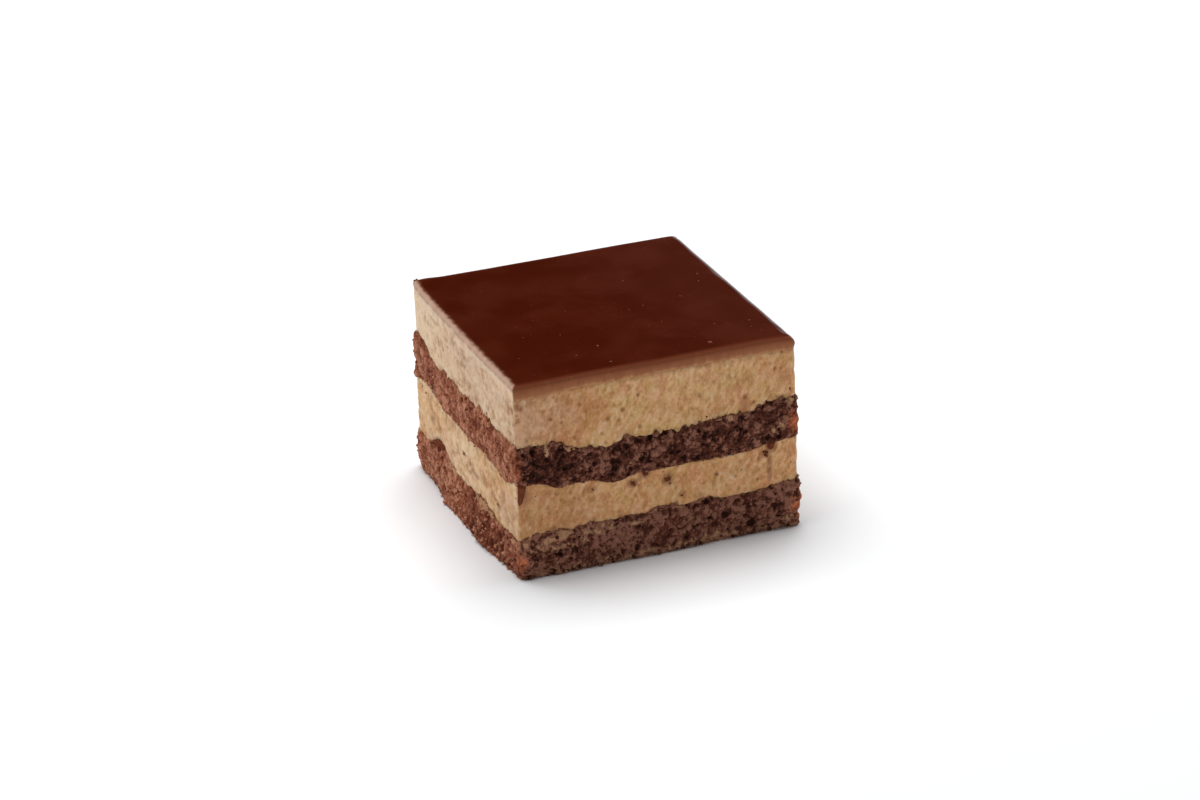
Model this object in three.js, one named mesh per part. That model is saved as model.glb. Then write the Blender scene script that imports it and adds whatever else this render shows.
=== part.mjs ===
// A square portion of layered mousse cake: chocolate sponge, coffee mousse, chocolate sponge,
// coffee mousse and a thin dark glaze. Millimetres, +Z up, standing on Z = 0.
// The front is the cut face at -Y, the left is the cut face at -X.

import * as THREE from 'three';

// Driving dimensions
const SIDE = 59; // between opposite cut faces
const HEIGHT = 41; // to the flat of the glaze
const HALF = SIDE / 2;
const CUT_CENTRE = [0.65, 0]; // the base bulges to the left, so the square stands right of the origin
const LAYER_GAP = 0.3;
const COLUMNS_PER_SIDE = 46;
const COLUMNS = 4 * COLUMNS_PER_SIDE;

// Sponge
const SPONGE_ROWS = 10;
const SPONGE_PROUD = 0.45; // how far the cut sponge stands out of the mousse
const SPONGE_EDGE_TUCK = 0.35; // its top and bottom edges are crumbled away by this
const BASE_FOOT_TUCK = 0.6; // the foot of the cake is rounded in by this
// Crags of two sizes: [size, depth]
const CRAGS = [
  [3.4, 0.36],
  [1.7, 0.34],
];
const EDGE_CRUMBLE_SIZE = 2.3;
const EDGE_CRUMBLE = 0.28;

// Where the base leans out of the left face: it sags over the table, and a shelf stands out near the back.
const LEFT_BULGES = [
  { y: -1.5, z: 0, reachY: 17, reachZ: 6, out: 2.2 },
  { y: 19, z: 9.5, reachY: 4.5, reachZ: 4, out: 0.8 },
];

// Mousse
const MOUSSE_ROWS = 5;
const MOUSSE_RIPPLE_SIZE = 4;
const MOUSSE_RIPPLE = 0.14;

// The whole outline wanders in and out a little, as a cut by hand does.
const WANDER_SIZE = 13;
const WANDER = 0.3;

// Glaze: thin over the middle, deeper where it runs over the front and right edges
const GLAZE_EDGE = 0.9;
const GLAZE_RIGHT_LIP = 2.9;
const GLAZE_MIDDLE = 1.3;
const LIP_REACH = 2;
const FLAT_INSET = 6; // where the top is flat again, in from its edges
const GLAZE_OVERHANG = 0.15;
const ROLL_RADIUS = 0.5;
const RIGHT_ROLL_RADIUS = 1.3;

// Corners in the order front left, front right, back right, back left
const CORNERS = [
  [-1, -1],
  [1, -1],
  [1, 1],
  [-1, 1],
];
const LAYER_CORNER_RADII = [0.7, 1.0, 0.9, 0.7];
const GLAZE_CORNER_RADII = [0.5, 1.7, 1.5, 0.5];

// A surface between two layers is at its level, plus the plateaus and dips its cut edges show:
// [x, y, rise, reach], measured from the middle of the cut square.
const BASE_TOP = {
  level: 8.3,
  plateaus: [
    [-20, -31, 1.1, 11],
    [0, -31, 1.0, 11],
    [20, -31, 1.0, 11],
    [-18.5, -30, -0.4, 3],
    [0.5, -30, 0.6, 3],
    [10.5, -30, 0.8, 2.2],
    [29, -30, 1.3, 3],
    [-30, 15, 3.1, 5.5],
    [-30, -10, 0.7, 5],
    [-30, -19, -1.0, 3.5],
    [-31, -27, -0.6, 4],
    [30, -6, 1.1, 9],
    [30, 16, -0.7, 7],
    [14, 30, 0.9, 8],
    [-10, 30, -0.6, 9],
  ],
};
const UPPER_SPONGE_FOOT = {
  level: 18.1,
  plateaus: [
    [-28.5, -31, 2.0, 5.2],
    [-16.5, -30, 0.6, 3.5],
    [-10, -30, -0.4, 2.5],
    [29, -31, 1.3, 9],
    [-32, 3, 1.7, 26],
    [-30, 29, 2.1, 13],
    [30, 6, 0.9, 10],
    [12, 30, 1.0, 11],
  ],
};
const UPPER_SPONGE_TOP = {
  level: 25.6,
  plateaus: [
    [-26, -30, 1.5, 7.5],
    [-13, -30, -0.4, 4.5],
    [-6, -30, 0.5, 3],
    [4.5, -30, -0.3, 2],
    [15, -30, 0.8, 8],
    [30, -30, 2.2, 9],
    [-36, 0, 2.7, 30],
    [-30, 28, 3.5, 8],
    [-30, 13.5, -0.5, 2.5],
    [31, -2, 0.9, 12],
    [30, 18, -0.6, 6],
    [9, 30, 1.2, 9],
    [30, 30, 1.3, 6],
  ],
};

// How deep the glaze comes down over the front edge.
const GLAZE_FRONT_LIP = {
  level: 2.55,
  plateaus: [
    [-30, -30, 0.4, 9],
    [30, -30, 0.4, 8],
  ],
};

// The flat of the glaze: lifted a little at the back left corner, drooping at the right one.
const GLAZE_TOP = {
  level: HEIGHT,
  plateaus: [
    [-30, 30, 0.35, 5],
    [30, -30, -0.5, 5],
    [30, 30, -0.2, 5],
  ],
};

function valueAt(surface, x, y) {
  let value = surface.level;
  for (const [atX, atY, rise, reach] of surface.plateaus) {
    const distance = Math.hypot(x - atX, y - atY) / reach;
    value += rise * Math.exp(-(distance ** 4));
  }
  return value;
}

function smoothStep(t) {
  const held = Math.min(Math.max(t, 0), 1);
  return held * held * (3 - 2 * held);
}

// A number from 0 to 1 that is always the same at one lattice point.
function latticeValue(i, j, k) {
  const mixed = Math.sin(i * 127.1 + j * 311.7 + k * 74.7) * 43758.5453;
  return mixed - Math.floor(mixed);
}

// Smooth noise from -1 to 1, with bumps of about the given size.
function noise(x, y, z, size) {
  const cell = [x, y, z].map((v) => Math.floor(v / size));
  const part = [x, y, z].map((v, axis) => smoothStep(v / size - cell[axis]));
  let sum = 0;
  for (let corner = 0; corner < 8; corner += 1) {
    const step = [corner & 1, (corner >> 1) & 1, (corner >> 2) & 1];
    const weight = step.reduce((w, s, axis) => w * (s ? part[axis] : 1 - part[axis]), 1);
    sum += weight * latticeValue(cell[0] + step[0], cell[1] + step[1], cell[2] + step[2]);
  }
  return 2 * sum - 1;
}

// Where a column stands: its place on the sharp square.
function squarePoint(column) {
  const side = Math.floor(column / COLUMNS_PER_SIDE) % 4;
  const along = (column % COLUMNS_PER_SIDE) / COLUMNS_PER_SIDE;
  const [fromX, fromY] = CORNERS[side];
  const [toX, toY] = CORNERS[(side + 1) % 4];
  return [HALF * (fromX + (toX - fromX) * along), HALF * (fromY + (toY - fromY) * along)];
}

function nearestCorner(x, y) {
  return CORNERS.findIndex(([sx, sy]) => sx * x >= 0 && sy * y >= 0);
}

// The same place with the corner rounded, and the direction that faces out of the cake there.
function roundedPoint([x, y], radii) {
  const radius = radii[nearestCorner(x, y)];
  const inner = HALF - radius;
  const coreX = Math.min(Math.max(x, -inner), inner);
  const coreY = Math.min(Math.max(y, -inner), inner);
  const out = new THREE.Vector2(x - coreX, y - coreY).normalize();
  return { x: coreX + radius * out.x, y: coreY + radius * out.y, out };
}

function ringPoint(place, outset, z) {
  return [place.x + place.out.x * outset, place.y + place.out.y * outset, z];
}

// A ring is one level point for each column, from its rule (place, square point) -> [x, y, z].
function makeRing(radii, rule) {
  return Array.from({ length: COLUMNS }, (_, column) => {
    const square = squarePoint(column);
    return rule(roundedPoint(square, radii), square);
  });
}

function middleOf(ring) {
  const height = ring.reduce((sum, point) => sum + point[2], 0) / ring.length;
  return [0, 0, height];
}

// Joins rings from bottom to top with bands of triangles and closes both ends with a fan.
function closedSkin(rings, bottomMiddle, topMiddle) {
  const points = [...rings.flat(), bottomMiddle, topMiddle];
  const bottomIndex = points.length - 2;
  const topIndex = points.length - 1;
  const lastRing = (rings.length - 1) * COLUMNS;
  const faces = [];
  for (let column = 0; column < COLUMNS; column += 1) {
    const next = (column + 1) % COLUMNS;
    faces.push([bottomIndex, next, column]);
    faces.push([topIndex, lastRing + column, lastRing + next]);
    for (let ring = 0; ring < rings.length - 1; ring += 1) {
      const low = ring * COLUMNS;
      const high = low + COLUMNS;
      faces.push([low + column, low + next, high + next]);
      faces.push([low + column, high + next, high + column]);
    }
  }
  const geometry = new THREE.BufferGeometry();
  geometry.setAttribute('position', new THREE.Float32BufferAttribute(points.flat(), 3));
  geometry.setIndex(faces.flat());
  geometry.computeVertexNormals();
  return geometry;
}

function wander(x, y, z) {
  return WANDER * noise(x, y, z, WANDER_SIZE);
}

function crags(x, y, z) {
  return CRAGS.reduce((sum, [size, depth]) => sum + depth * noise(x, y, z, size), 0);
}

// How far the base leans out of the left face at a place.
function leftBulge(x, y, z) {
  if (x > -HALF) return 0;
  return LEFT_BULGES.reduce((sum, bulge) => {
    const along = ((y - bulge.y) / bulge.reachY) ** 4;
    const upright = ((z - bulge.z) / bulge.reachZ) ** 2;
    return sum + bulge.out * Math.exp(-along - upright);
  }, 0);
}

// A sponge layer between two surfaces; footTuck rounds its lower edge in.
function spongeGeometry(foot, top, footTuck, bulge) {
  const rings = [];
  for (let row = 0; row < SPONGE_ROWS; row += 1) {
    const share = row / (SPONGE_ROWS - 1);
    rings.push(
      makeRing(LAYER_CORNER_RADII, (place, [x, y]) => {
        const z = foot(x, y) + (top(x, y) - foot(x, y)) * share;
        const tuck = footTuck * (1 - share) ** 4 + SPONGE_EDGE_TUCK * share ** 6;
        const relief = crags(x, y, z) + bulge(x, y, z) - tuck;
        return ringPoint(place, SPONGE_PROUD + wander(x, y, z) + relief, z);
      }),
    );
  }
  return closedSkin(rings, middleOf(rings[0]), middleOf(rings.at(-1)));
}

function mousseGeometry(foot, top) {
  const rings = [];
  for (let row = 0; row < MOUSSE_ROWS; row += 1) {
    const share = row / (MOUSSE_ROWS - 1);
    rings.push(
      makeRing(LAYER_CORNER_RADII, (place, [x, y]) => {
        const z = foot(x, y) + (top(x, y) - foot(x, y)) * share;
        const ripple = MOUSSE_RIPPLE * noise(x, y, z, MOUSSE_RIPPLE_SIZE);
        return ringPoint(place, wander(x, y, z) + ripple, z);
      }),
    );
  }
  return closedSkin(rings, middleOf(rings[0]), middleOf(rings.at(-1)));
}

function nearFront(y) {
  return smoothStep(1 - (y + HALF) / LIP_REACH);
}

function nearRight(x) {
  return smoothStep(1 - (HALF - x) / LIP_REACH);
}

// The lower edge of the glaze, deepest over the front and the right.
function glazeFoot(x, y) {
  const front = (valueAt(GLAZE_FRONT_LIP, x, y) - GLAZE_EDGE) * nearFront(y);
  const right = (GLAZE_RIGHT_LIP - GLAZE_EDGE) * nearRight(x);
  return HEIGHT - GLAZE_EDGE - Math.max(front, right);
}

// A side of the glaze rises straight from its foot and rolls over onto the top.
function glazeGeometry() {
  const rollAngles = [0, Math.PI / 6, Math.PI / 3, Math.PI / 2];
  const rollRadius = (x) => ROLL_RADIUS + (RIGHT_ROLL_RADIUS - ROLL_RADIUS) * nearRight(x);
  const foot = makeRing(GLAZE_CORNER_RADII, (place, [x, y]) =>
    ringPoint(place, wander(x, y, HEIGHT) + GLAZE_OVERHANG, glazeFoot(x, y)),
  );
  const rolls = rollAngles.map((angle) =>
    makeRing(GLAZE_CORNER_RADII, (place, [x, y]) => {
      const radius = rollRadius(x);
      const inset = radius * (1 - Math.cos(angle));
      const z = valueAt(GLAZE_TOP, x, y) - radius * (1 - Math.sin(angle));
      return ringPoint(place, wander(x, y, HEIGHT) + GLAZE_OVERHANG - inset, z);
    }),
  );
  const flat = makeRing(GLAZE_CORNER_RADII, (place) => {
    const shrink = 1 - FLAT_INSET / HALF;
    return [place.x * shrink, place.y * shrink, HEIGHT];
  });
  return closedSkin([foot, ...rolls, flat], [0, 0, HEIGHT - GLAZE_MIDDLE], [0, 0, HEIGHT]);
}

function addLayer(group, name, geometry, material) {
  const mesh = new THREE.Mesh(geometry, material);
  mesh.name = name;
  group.add(mesh);
}

const sponge = new THREE.MeshStandardMaterial({ color: 0x4a2a22, roughness: 0.95, metalness: 0 });
const mousse = new THREE.MeshStandardMaterial({ color: 0xab8558, roughness: 0.7, metalness: 0 });
const glaze = new THREE.MeshStandardMaterial({ color: 0x46180f, roughness: 0.2, metalness: 0 });

// The surfaces that the layers share, each layer starting a gap above the one below
const ground = () => 0;
const noBulge = () => 0;
const crumbled = (surface) => (x, y) =>
  valueAt(surface, x, y) + EDGE_CRUMBLE * noise(x, y, surface.level, EDGE_CRUMBLE_SIZE);
const baseTop = crumbled(BASE_TOP);
const lowerMousseFoot = (x, y) => baseTop(x, y) + LAYER_GAP;
const upperSpongeFoot = crumbled(UPPER_SPONGE_FOOT);
const lowerMousseTop = (x, y) => upperSpongeFoot(x, y) - LAYER_GAP;
const upperSpongeTop = crumbled(UPPER_SPONGE_TOP);
const upperMousseFoot = (x, y) => upperSpongeTop(x, y) + LAYER_GAP;
const upperMousseTop = (x, y) => glazeFoot(x, y) - LAYER_GAP;

const baseSponge = spongeGeometry(ground, baseTop, BASE_FOOT_TUCK, leftBulge);
const lowerMousse = mousseGeometry(lowerMousseFoot, lowerMousseTop);
const upperSponge = spongeGeometry(upperSpongeFoot, upperSpongeTop, SPONGE_EDGE_TUCK, noBulge);
const upperMousse = mousseGeometry(upperMousseFoot, upperMousseTop);

const cake = new THREE.Group();
cake.position.set(CUT_CENTRE[0], CUT_CENTRE[1], 0);
addLayer(cake, 'base_sponge', baseSponge, sponge);
addLayer(cake, 'lower_mousse', lowerMousse, mousse);
addLayer(cake, 'upper_sponge', upperSponge, sponge);
addLayer(cake, 'upper_mousse', upperMousse, mousse);
addLayer(cake, 'glaze', glazeGeometry(), glaze);

export default cake;
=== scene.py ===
"""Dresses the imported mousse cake: crumbly sponge, aerated mousse and glossy glaze, on a plain pale floor."""

import math

import bmesh
import bpy
import numpy as np
from mathutils import Matrix
from mathutils.bvhtree import BVHTree


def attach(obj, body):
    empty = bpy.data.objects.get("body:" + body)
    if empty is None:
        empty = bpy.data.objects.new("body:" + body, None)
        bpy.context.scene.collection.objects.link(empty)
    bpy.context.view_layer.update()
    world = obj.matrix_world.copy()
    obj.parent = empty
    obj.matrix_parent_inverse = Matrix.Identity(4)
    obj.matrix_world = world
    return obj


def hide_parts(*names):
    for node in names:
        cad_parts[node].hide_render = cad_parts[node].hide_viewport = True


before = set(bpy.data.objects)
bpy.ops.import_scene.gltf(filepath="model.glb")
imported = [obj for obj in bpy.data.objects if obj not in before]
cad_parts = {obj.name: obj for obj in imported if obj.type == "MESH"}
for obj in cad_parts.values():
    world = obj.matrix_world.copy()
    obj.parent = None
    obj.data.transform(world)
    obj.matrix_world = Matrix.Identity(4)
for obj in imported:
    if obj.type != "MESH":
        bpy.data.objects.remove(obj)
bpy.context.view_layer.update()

MM = 0.001

# Driving sizes in millimetres: the cut square and the glaze over it
SIDE = 59.0
HALF = SIDE / 2
HEIGHT = 41.0
CUT_CENTRE = np.array([0.65, 0.0])

# The surfaces are grids of columns round the cut square and rows up each layer.
SIDE_COLUMNS = 350
CRUMB_ROW_HEIGHT = 0.165
MOUSSE_ROW_HEIGHT = 0.21
COLUMNS = 4 * SIDE_COLUMNS
STEP = SIDE / SIDE_COLUMNS

# Places round the cake are millimetres round the square, from the front left corner.
FRONT, RIGHT, BACK, LEFT = 0.0, SIDE, 2 * SIDE, 3 * SIDE
AROUND = 4 * SIDE

# Corners in the order front left, front right, back right, back left
CORNERS = np.array([[-1, -1], [1, -1], [1, 1], [-1, 1]])
LAYER_CORNER_RADII = (0.5, 0.8, 0.8, 0.5)
GLAZE_CORNER_RADII = (0.5, 1.3, 1.0, 0.5)


# Noise

LATTICE_MIX = (127.1, 311.7, 74.7)
LATTICE_SCALE = 43758.5453
NOISE_SHIFT = 37.7  # how far apart, in bumps, two seeds' noises are taken
CELL_SHIFT = 53.3  # the same for the scattered cells
FINER_WEIGHT = 0.55  # of each finer noise beside the one before it


def lattice(i, j, k):
    """A number from 0 to 1 that is always the same at one lattice point."""
    a, b, c = LATTICE_MIX
    mixed = np.sin(i * a + j * b + k * c) * LATTICE_SCALE
    return mixed - np.floor(mixed)


def smooth_step(low, high, value):
    """0 at the low value and 1 at the high one, with a soft start and end."""
    part = np.clip((value - low) / (high - low), 0, 1)
    return part * part * (3 - 2 * part)


def near(distance, reach):
    """1 at no distance, softly down to 0 at that reach."""
    return smooth_step(reach, 0.0, distance)


def noise(points, size, seed=0):
    """Smooth noise from -1 to 1 with bumps of about that size; the size may differ by axis."""
    scaled = points / np.asarray(size, float) + NOISE_SHIFT * seed
    cell = np.floor(scaled)
    part = scaled - cell
    part = part * part * (3 - 2 * part)
    total = 0
    for corner in range(8):
        step = np.array([corner & 1, corner >> 1 & 1, corner >> 2 & 1])
        weight = np.prod(np.where(step, part, 1 - part), axis=-1)
        total = total + weight * lattice(*np.moveaxis(cell + step, -1, 0))
    return 2 * total - 1


def layered_noise(points, size, seed=0, octaves=3):
    """Noise with finer and weaker noise added."""
    total, weight = 0, 1.0
    for octave in range(octaves):
        total = total + weight * noise(points, np.asarray(size, float) / 2**octave, seed + octave)
        weight *= FINER_WEIGHT
    return total


def drift(points, size, seeds):
    """Noise as a vector for each point, with a seed for each axis, to bend a pattern with."""
    return np.stack([noise(points, size, seed) for seed in seeds], -1)


def scattered_cells(points, size, seed=0):
    """Distance to the nearest of a scatter of points, in cell sizes, and a random value of that point."""
    scaled = points / size + CELL_SHIFT * seed
    cell = np.floor(scaled)
    nearest = np.full(points.shape[:-1], 9.0)
    value = np.zeros(points.shape[:-1])
    for i in (-1, 0, 1):
        for j in (-1, 0, 1):
            for k in (-1, 0, 1):
                at = cell + (i, j, k)
                x, y, z = np.moveaxis(at, -1, 0)
                jitter = np.stack([lattice(x, y, z), lattice(y, z, x + 31), lattice(z, x, y + 57)], -1)
                distance = np.linalg.norm(at + jitter - scaled, axis=-1)
                closer = distance < nearest
                nearest = np.where(closer, distance, nearest)
                value = np.where(closer, lattice(x + 11, y + 7, z + 3), value)
    return nearest, value


# The cut square


def rounded_square(radii):
    """The columns' places with the corners rounded, and the directions that face out there."""
    side, step = np.divmod(np.arange(COLUMNS), SIDE_COLUMNS)
    start, end = CORNERS[side], CORNERS[(side + 1) % 4]
    square = HALF * (start + (end - start) * (step / SIDE_COLUMNS)[:, None])
    radius = np.empty(COLUMNS)
    for corner, corner_radius in zip(CORNERS, radii):
        radius[(square * corner >= 0).all(axis=1)] = corner_radius
    inner = (HALF - radius)[:, None]
    core = np.clip(square, -inner, inner)
    away = square - core
    away /= np.linalg.norm(away, axis=1)[:, None]
    return core + radius[:, None] * away, away


PLACES, AWAY = rounded_square(LAYER_CORNER_RADII)
GLAZE_PLACES, GLAZE_AWAY = rounded_square(GLAZE_CORNER_RADII)
AROUND_AT = np.arange(COLUMNS) * STEP


def gap_around(places, place):
    """How far places lie past another, the short way round."""
    return (places - place + AROUND / 2) % AROUND - AROUND / 2


def side_share(start, blend):
    """1 on the columns of the side that starts there and 0 on the others, softened at its corners."""
    return smooth_step(HALF + blend, HALF - blend, np.abs(gap_around(AROUND_AT, start + HALF)))


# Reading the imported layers

EDGE_DEPTH = 0.9  # how far inside the cut face a layer's heights are read
EDGE_KEEP = 0.25  # how near its edges a layer's face is still read
FAR = 90.0  # how far away the rays that read a layer start

# Columns on each side that a height or a distance is averaged over
HEIGHT_SOFTENING = 3
OUTSET_SOFTENING = 2
GLAZE_SOFTENING = 6

# Where a layer's side is moved out or in, as (place, width, amount)
NUDGES = {
    "glaze": ((LEFT, 6, -0.4), (RIGHT, 7, 0.3)),
    "upper_mousse": ((LEFT, 6, -0.4),),
    "upper_sponge": ((LEFT, 6, 0.4),),
    "base_sponge": ((RIGHT, 8, 0.5), (LEFT + 27, 36, -0.7)),
}


def soften(grid, reach):
    """Averages each value with its neighbours round the cake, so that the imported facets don't show."""
    kernel = np.ones(2 * reach + 1) / (2 * reach + 1)
    rows = [np.convolve(np.pad(row, reach, "wrap"), kernel, "valid") for row in np.atleast_2d(grid)]
    return np.array(rows).reshape(np.shape(grid))


class Layer:
    """A packed layer's side: its foot and top height by column, and the grid that is made of it."""

    def __init__(self, node, places=PLACES, away=AWAY):
        self.node, self.places, self.away = node, places, away
        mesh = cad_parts[node].data
        points = [v.co / MM for v in mesh.vertices]
        self.tree = BVHTree.FromPolygons(points, [tuple(p.vertices) for p in mesh.polygons])
        self.foot = self.edge_height(-FAR, 1)
        self.top = self.edge_height(FAR, -1)

    def edge_height(self, start, direction):
        """The first height that upright rays meet just inside the cut face."""
        inside = self.places - self.away * EDGE_DEPTH + CUT_CENTRE
        hits = [self.tree.ray_cast((x, y, start), (0, 0, direction))[0].z for x, y in inside]
        return soften(hits, HEIGHT_SOFTENING)

    def outset(self, shares):
        """How far the side stands out of the cut square, at those shares of the layer's height."""
        low, high = self.foot + EDGE_KEEP, self.top - EDGE_KEEP
        start = self.places + self.away * FAR + CUT_CENTRE
        out = np.empty((len(shares), COLUMNS))
        for row, share in enumerate(shares):
            heights = low + (high - low) * share
            for column, ((x, y), (ax, ay), z) in enumerate(zip(start, self.away, heights)):
                out[row, column] = FAR - self.tree.ray_cast((x, y, z), (-ax, -ay, 0))[3]
        out = soften(out, OUTSET_SOFTENING)
        for place, width, amount in NUDGES.get(self.node, ()):
            out += amount * near(np.abs(gap_around(AROUND_AT, place)), width / 2)
        return out

    def lay_out(self, foot, top, row_height):
        """Makes the side's heights, rows by columns, and its grid of points, and gives the rows' shares."""
        shares = np.linspace(0, 1, int((top - foot).mean() / row_height) + 2)
        self.heights = foot + (top - foot) * shares[:, None]
        flat = PLACES + AWAY * self.outset(shares)[..., None] + CUT_CENTRE
        self.grid = np.concatenate([flat, self.heights[..., None]], axis=-1)
        return shares

    def push_out(self, amount):
        self.grid[..., :2] += AWAY * amount[..., None]

    def point(self, place, height):
        """The point of the grid at a place round the cake and a height."""
        column = int(round(place / STEP)) % COLUMNS
        row = int(np.abs(self.heights[:, column] - height).argmin())
        return self.grid[row, column]


# Making meshes

HIDDEN_INSETS = (2.0, 9.0)  # rings that carry a layer's hidden faces inwards
LAP_INSET = 0.5  # the ring before them on a layer that laps past its edges


def new_mesh(name, points, faces, values, material):
    """A smooth object from points in millimetres, with a value for each point."""
    mesh = bpy.data.meshes.new(name)
    mesh.from_pydata((np.asarray(points) * MM).tolist(), [], faces)
    for key, numbers in values.items():
        made = mesh.attributes.new(key, "FLOAT", "POINT")
        made.data.foreach_set("value", np.asarray(numbers, np.float32))
    mesh.shade_smooth()
    mesh.materials.append(material)
    mesh.update()
    piece = bpy.data.objects.new(name, mesh)
    bpy.context.scene.collection.objects.link(piece)
    return piece


def declare(piece, replaced=None):
    if replaced:
        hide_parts(replaced)
    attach(piece, "root")


def ring_faces(rows):
    """Faces that join rings one above the other, each ring closed on itself."""
    row, column = np.meshgrid(np.arange(rows - 1), np.arange(COLUMNS), indexing="ij")
    low = row * COLUMNS
    following = (column + 1) % COLUMNS
    corners = [low + column, low + following, low + COLUMNS + following, low + COLUMNS + column]
    return np.stack(corners, -1).reshape(-1, 4).tolist()


def closed_skin(name, rings, values, middles, material):
    """A closed piece from a stack of rings, with a fan to a middle point over each end."""
    points = np.concatenate([np.reshape(rings, (-1, 3)), middles])
    bottom, top = len(points) - 2, len(points) - 1
    last = (len(rings) - 1) * COLUMNS
    faces = ring_faces(len(rings))
    for column in range(COLUMNS):
        following = (column + 1) % COLUMNS
        faces.append([bottom, following, column])
        faces.append([top, last + column, last + following])
    spread = {key: np.concatenate([np.ravel(v), [0, 0]]) for key, v in values.items()}
    return new_mesh(name, points, faces, spread, material)


def shade_flat(skin, rows):
    """Shades some rows of hidden faces flat, so that the rows beside them keep their own normals."""
    for row in rows:
        for face in skin.data.polygons[row * COLUMNS : (row + 1) * COLUMNS]:
            face.use_smooth = False


def paint_rows(skin, material, chosen):
    """Gives a second material to the chosen ones of a skin's first faces."""
    skin.data.materials.append(material)
    indices = np.zeros(len(skin.data.polygons), int)
    indices[: chosen.size] = chosen.ravel()
    skin.data.polygons.foreach_set("material_index", indices)


def layer_piece(name, layer, values, material, lap=0.0):
    grid = layer.grid
    rings = list(grid)
    insets = (LAP_INSET, *HIDDEN_INSETS) if lap else HIDDEN_INSETS
    hidden = len(insets)
    for inset in insets:
        flat = PLACES * (1 - inset / HALF) + CUT_CENTRE
        rings.insert(0, np.column_stack([flat, grid[0, :, 2] - lap]))
        rings.append(np.column_stack([flat, grid[-1, :, 2] + lap]))
    spread = {key: np.pad(v, ((hidden, hidden), (0, 0)), "edge") for key, v in values.items()}
    middles = ((*CUT_CENTRE, grid[0, :, 2].mean() - lap), (*CUT_CENTRE, grid[-1, :, 2].mean() + lap))
    piece = closed_skin(name, rings, spread, middles, material)
    if lap:
        shade_flat(piece, (hidden - 1, hidden + len(grid) - 1))
    declare(piece, layer.node)


# Materials

RANGE_SOCKETS = ("From Min", "From Max", "To Min", "To Max")


class Paint:
    """Builds a material's nodes with short calls."""

    def __init__(self, name):
        self.material = bpy.data.materials.new(name)
        self.material.use_nodes = True
        self.tree = self.material.node_tree
        self.shader = self.tree.nodes["Principled BSDF"]
        self.place = self.tree.nodes.new("ShaderNodeTexCoord").outputs["Object"]

    def link(self, source, target):
        if isinstance(source, (int, float)):
            target.default_value = source
        elif isinstance(source, tuple):
            target.default_value = (*source, 1.0)[: len(target.default_value)]
        else:
            self.tree.links.new(source, target)

    def attribute(self, name):
        node = self.tree.nodes.new("ShaderNodeAttribute")
        node.attribute_name = name
        return node.outputs["Fac"]

    def stretched(self, x, y, z):
        node = self.tree.nodes.new("ShaderNodeVectorMath")
        node.operation = "MULTIPLY"
        self.link(self.place, node.inputs[0])
        node.inputs[1].default_value = (x, y, z)
        return node.outputs[0]

    def noise(self, size, detail=2.0, roughness=0.5, place=None):
        """Noise from 0 to 1 with bumps of about that size in millimetres."""
        node = self.tree.nodes.new("ShaderNodeTexNoise")
        self.link(place or self.place, node.inputs["Vector"])
        node.inputs["Scale"].default_value = 1 / (size * MM)
        node.inputs["Detail"].default_value = detail
        node.inputs["Roughness"].default_value = roughness
        return node.outputs["Fac"]

    def spread(self, value, low, high, to_low=0.0, to_high=1.0):
        node = self.tree.nodes.new("ShaderNodeMapRange")
        node.interpolation_type = "SMOOTHSTEP"
        self.link(value, node.inputs["Value"])
        for socket, number in zip(RANGE_SOCKETS, (low, high, to_low, to_high)):
            node.inputs[socket].default_value = number
        return node.outputs["Result"]

    def ramp(self, value, low, high, to_low=0.0, to_high=1.0):
        """As spread, in a straight line."""
        result = self.spread(value, low, high, to_low, to_high)
        result.node.interpolation_type = "LINEAR"
        return result

    def swing(self, value, amount):
        """Noise spread to run from minus to plus that amount."""
        return self.spread(value, 0.3, 0.7, -amount, amount)

    def ragged(self, name, size, detail, amount):
        """An attribute with noise of that size and amount added, which makes its borders ragged."""
        return self.math("ADD", self.attribute(name), self.swing(self.noise(size, detail), amount))

    def math(self, operation, first, second=0.0):
        node = self.tree.nodes.new("ShaderNodeMath")
        node.operation = operation
        self.link(first, node.inputs[0])
        self.link(second, node.inputs[1])
        return node.outputs[0]

    def mix(self, share, first, second):
        node = self.tree.nodes.new("ShaderNodeMix")
        node.data_type = "RGBA"
        self.link(share, node.inputs["Factor"])
        self.link(first, node.inputs["A"])
        self.link(second, node.inputs["B"])
        return node.outputs["Result"]

    def tones(self, level, low, middle, high):
        """A colour that runs through three as the level goes from 0 to 1."""
        lower = self.mix(self.spread(level, 0.05, 0.5), low, middle)
        return self.mix(self.spread(level, 0.5, 1.0), lower, high)

    def bump(self, height, distance, strength=1.0):
        node = self.tree.nodes.new("ShaderNodeBump")
        node.inputs["Distance"].default_value = distance * MM
        node.inputs["Strength"].default_value = strength
        self.link(height, node.inputs["Height"])
        return node.outputs["Normal"]

    def finish(self, colour, roughness, normal=None, **fixed):
        self.link(colour, self.shader.inputs["Base Color"])
        self.link(roughness, self.shader.inputs["Roughness"])
        if normal is not None:
            self.link(normal, self.shader.inputs["Normal"])
        for name, value in fixed.items():
            self.shader.inputs[name.replace("_", " ")].default_value = value
        return self.material


def srgb(red, green, blue):
    """A display colour, 0 to 255, as the linear colour that shaders take."""
    parts = (c / 255 for c in (red, green, blue))
    return tuple(c / 12.92 if c <= 0.04045 else ((c + 0.055) / 1.055) ** 2.4 for c in parts)


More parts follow.
